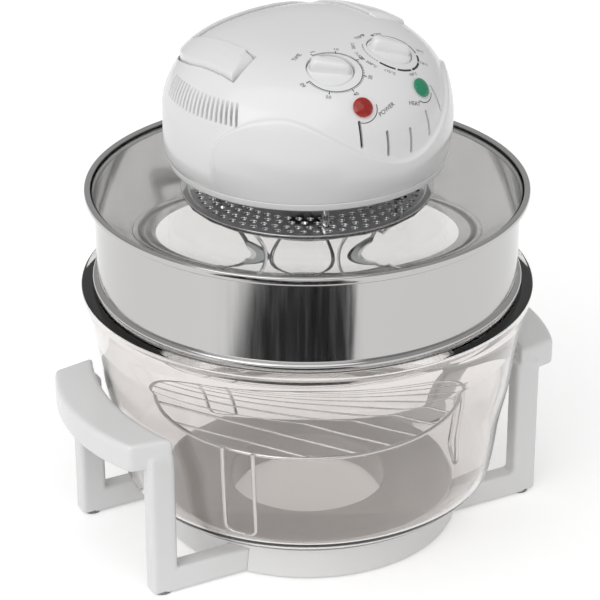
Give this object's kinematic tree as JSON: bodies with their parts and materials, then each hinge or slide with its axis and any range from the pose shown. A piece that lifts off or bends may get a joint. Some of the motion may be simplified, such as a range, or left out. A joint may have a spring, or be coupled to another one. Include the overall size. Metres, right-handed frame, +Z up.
{
  "type": "halogen convection oven",
  "caption": "Table-top halogen oven: smoky glass bowl in a white two-handled stand, steel extender ring, glass lid under a domed white fan head with timer and thermostat knobs.",
  "frame": {"origin": "on the worktop, under the middle of the bowl", "axes": "+Z up, +X along the line through the two stand handles, -Y towards the side that the controls face"},
  "size_m": [0.394, 0.342, 0.4014],
  "materials": {
    "white_plastic": "glossy white moulded plastic",
    "foot_rubber": "grey rubber",
    "zinc_steel": "plain zinc-plated steel",
    "smoky_glass": "clear smoky heatproof glass",
    "clear_glass": "clear toughened glass",
    "chrome_wire": "bright chrome plate",
    "stainless_sheet": "polished stainless sheet",
    "quartz": "clear quartz tube",
    "ceramic": "white ceramic",
    "black_plastic": "black moulded plastic",
    "red_plastic": "red moulded plastic",
    "red_lens": "clear red plastic",
    "green_lens": "clear green plastic",
    "iron_core": "varnished iron laminations",
    "bush_brass": "plain brass"
  },
  "bodies": {
    "stand": {"stand_base": "white_plastic", "stand_frame_left": "white_plastic", "stand_frame_right": "white_plastic", "foot_pad_left_front": "foot_rubber", "foot_pad_left_rear": "foot_rubber", "foot_pad_right_front": "foot_rubber", "foot_pad_right_rear": "foot_rubber", "stand_screw_left_front": "zinc_steel", "stand_screw_left_rear": "zinc_steel", "stand_screw_right_front": "zinc_steel", "stand_screw_right_rear": "zinc_steel"},
    "bowl": {"glass_bowl": "smoky_glass"},
    "high_rack": {"high_rack": "chrome_wire"},
    "ring": {"extender_ring": "stainless_sheet"},
    "lid": {"glass_lid": "clear_glass", "heat_shield_pan": "chrome_wire", "spacer_post_left_front": "stainless_sheet", "spacer_post_left_rear": "stainless_sheet", "spacer_post_right_front": "stainless_sheet", "spacer_post_right_rear": "stainless_sheet", "reflector_plate": "stainless_sheet", "halogen_tube": "quartz", "lamp_holder_left": "ceramic", "lamp_holder_right": "ceramic", "wire_guard": "chrome_wire", "head_base": "white_plastic", "cover_screw_1": "zinc_steel", "cover_screw_2": "zinc_steel", "cover_screw_3": "zinc_steel", "cover_screw_4": "zinc_steel", "head_cover": "white_plastic", "handle_pin_left": "zinc_steel", "handle_pin_right": "zinc_steel", "handle_switch": "black_plastic", "timer_mechanism": "black_plastic", "thermostat_body": "black_plastic", "power_lamp_lens": "red_lens", "heat_lamp_lens": "green_lens", "motor_bracket": "zinc_steel", "shaft_bush": "bush_brass", "motor_stator": "iron_core", "terminal_block": "ceramic", "cord_inlet": "black_plastic"},
    "handle": {"safety_handle": "white_plastic"},
    "plunger": {"switch_plunger": "red_plastic"},
    "timer": {"timer_knob": "white_plastic", "timer_shaft": "zinc_steel"},
    "thermostat": {"thermostat_knob": "white_plastic", "thermostat_shaft": "zinc_steel"},
    "fan": {"motor_rotor": "iron_core", "motor_shaft": "zinc_steel", "circulation_fan": "stainless_sheet", "fan_nut": "bush_brass", "cooling_fan": "white_plastic"}
  },
  "joints": [
    {"name": "bowl_lift", "type": "slide", "parent": "stand", "child": "bowl", "axis": [0, 0, 1], "range_m": [0, 0.15]},
    {"name": "high_rack_lift", "type": "slide", "parent": "bowl", "child": "high_rack", "axis": [0, 0, 1], "range_m": [0, 0.1]},
    {"name": "ring_lift", "type": "slide", "parent": "bowl", "child": "ring", "axis": [0, 0, 1], "range_m": [0, 0.15]},
    {"name": "lid_lift", "type": "slide", "parent": "ring", "child": "lid", "axis": [0, 0, 1], "range_m": [0, 0.2]},
    {"name": "handle_hinge", "type": "hinge", "parent": "lid", "child": "handle", "pos_m": [0.00047, -0.00194, 0.3809], "axis": [0.9724, 0.2334, 0], "range_deg": [0, 66]},
    {"name": "switch_release", "type": "slide", "parent": "lid", "child": "plunger", "axis": [0, 0, 1], "range_m": [0, 0.002]},
    {"name": "timer_turn", "type": "hinge", "parent": "lid", "child": "timer", "pos_m": [-0.01433, -0.06067, 0.3853], "axis": [0.0585, 0.3085, -0.9494], "range_deg": [0, 265]},
    {"name": "thermostat_turn", "type": "hinge", "parent": "lid", "child": "thermostat", "pos_m": [0.04031, -0.04756, 0.3853], "axis": [-0.1922, 0.2483, -0.9494], "range_deg": [0, 270]},
    {"name": "fan_spin", "type": "hinge", "parent": "lid", "child": "fan", "pos_m": [0, 0, 0.3], "axis": [0, 0, 1], "continuous": true}
  ],
  "couplings": [
    {"joint": "switch_release", "follows": "handle_hinge", "m_per_rad": 0.001736}
  ]
}
